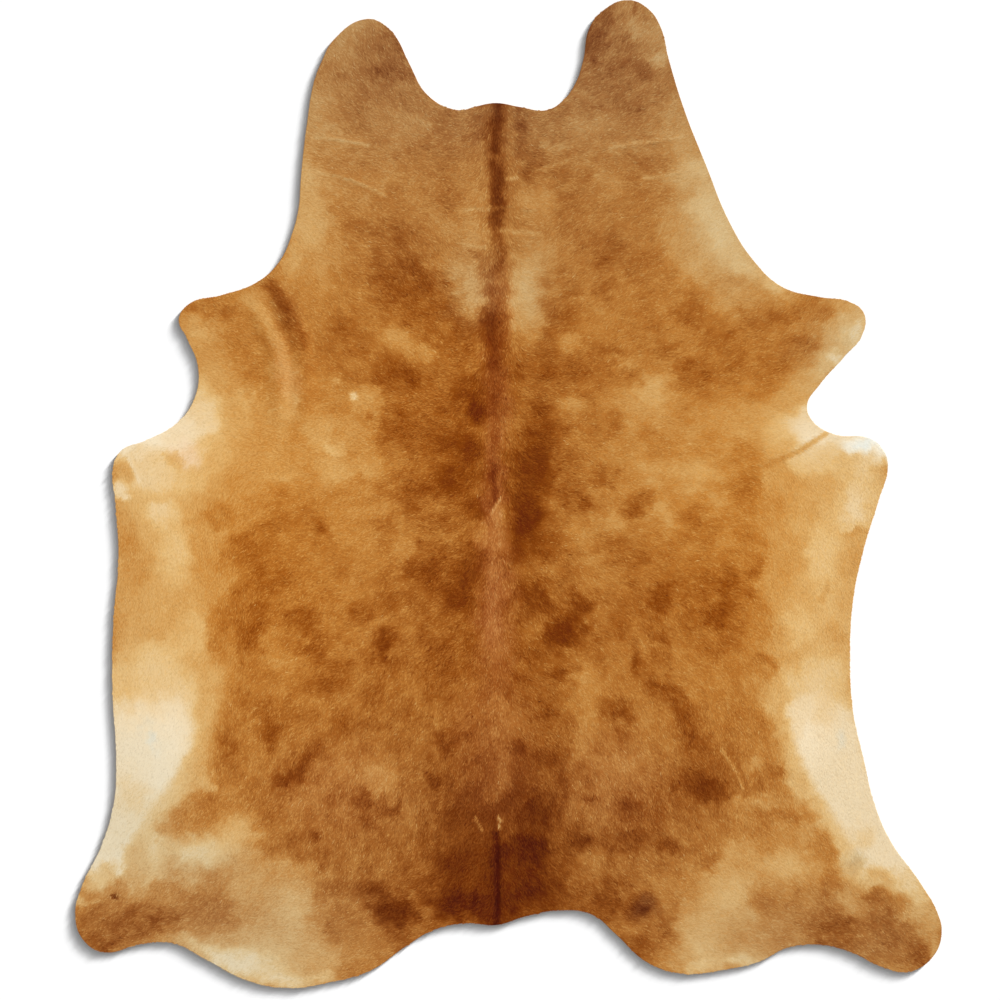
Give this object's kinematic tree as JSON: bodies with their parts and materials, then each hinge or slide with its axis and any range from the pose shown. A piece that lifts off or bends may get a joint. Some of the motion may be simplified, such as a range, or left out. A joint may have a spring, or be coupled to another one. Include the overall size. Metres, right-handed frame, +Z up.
{
  "type": "hair-on cattle hide",
  "caption": "Whole tanned cattle hide with a short golden brown coat, cut to the animal's outline and laid flat as a rug, hair side up.",
  "frame": {"origin": "centre of the hide's bounding box, on the surface that it lies on", "axes": "+Y towards the neck along the spine, +X towards the right of the hide as seen from above with the neck away from the viewer, +Z up through the hair side"},
  "size_m": [1.93, 2.2, 0.0091],
  "materials": {
    "hair_coat": "short cattle hair lying flat, caramel to dark brown and cream, soft sheen",
    "skin_side": "pale tanned suede, matt"
  },
  "bodies": {
    "root": {"hide": "hair_coat"}
  },
  "joints": []
}
